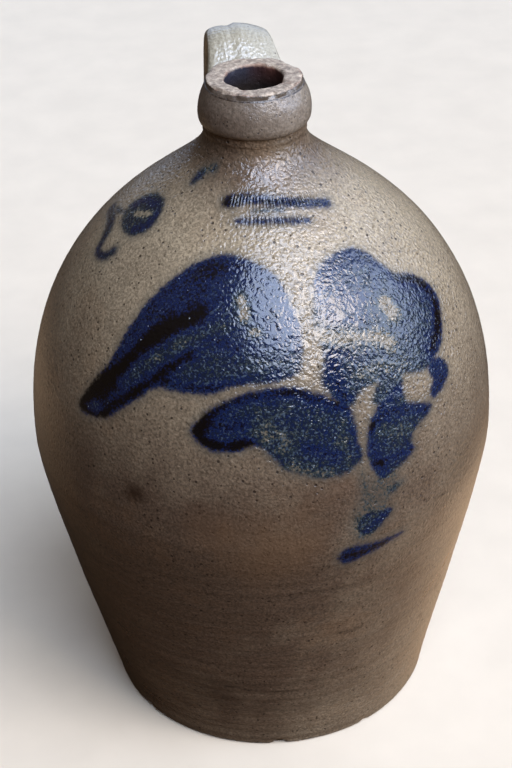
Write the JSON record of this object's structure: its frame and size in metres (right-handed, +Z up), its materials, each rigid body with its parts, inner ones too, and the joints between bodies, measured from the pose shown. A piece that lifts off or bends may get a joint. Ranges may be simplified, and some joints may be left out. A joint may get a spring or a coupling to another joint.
{
  "type": "stoneware jug",
  "caption": "Ovoid salt-glazed stoneware jug with a heavy collar round a narrow mouth, a strap handle and brushed cobalt leaves.",
  "frame": {"origin": "centre of the flat foot, at the height of the surface that the jug stands on", "axes": "+Z up along the axis of the body and the mouth, +Y towards the handle, -Y out of the decorated front"},
  "size_m": [0.24, 0.24, 0.3594],
  "materials": {
    "stoneware_body": "salt-glazed, orange peel",
    "worn_collar": "salt-glazed, worn to the clay at the rim",
    "pale_handle_glaze": "glossy salt glaze",
    "brown_slip": "glossy brown slip",
    "cobalt_slip": "brushed cobalt under salt glaze"
  },
  "bodies": {
    "root": {"lower_body": "stoneware_body", "upper_body": "stoneware_body", "neck": "stoneware_body", "collar": "worn_collar", "handle": "pale_handle_glaze", "slip_lining": "brown_slip", "cobalt_left_leaf": "cobalt_slip", "cobalt_right_leaf": "cobalt_slip", "cobalt_low_left_leaf": "cobalt_slip", "cobalt_low_right_leaf": "cobalt_slip", "cobalt_stem_strokes": "cobalt_slip", "cobalt_curl_mark": "cobalt_slip", "cobalt_neck_bands": "cobalt_slip"}
  },
  "joints": []
}
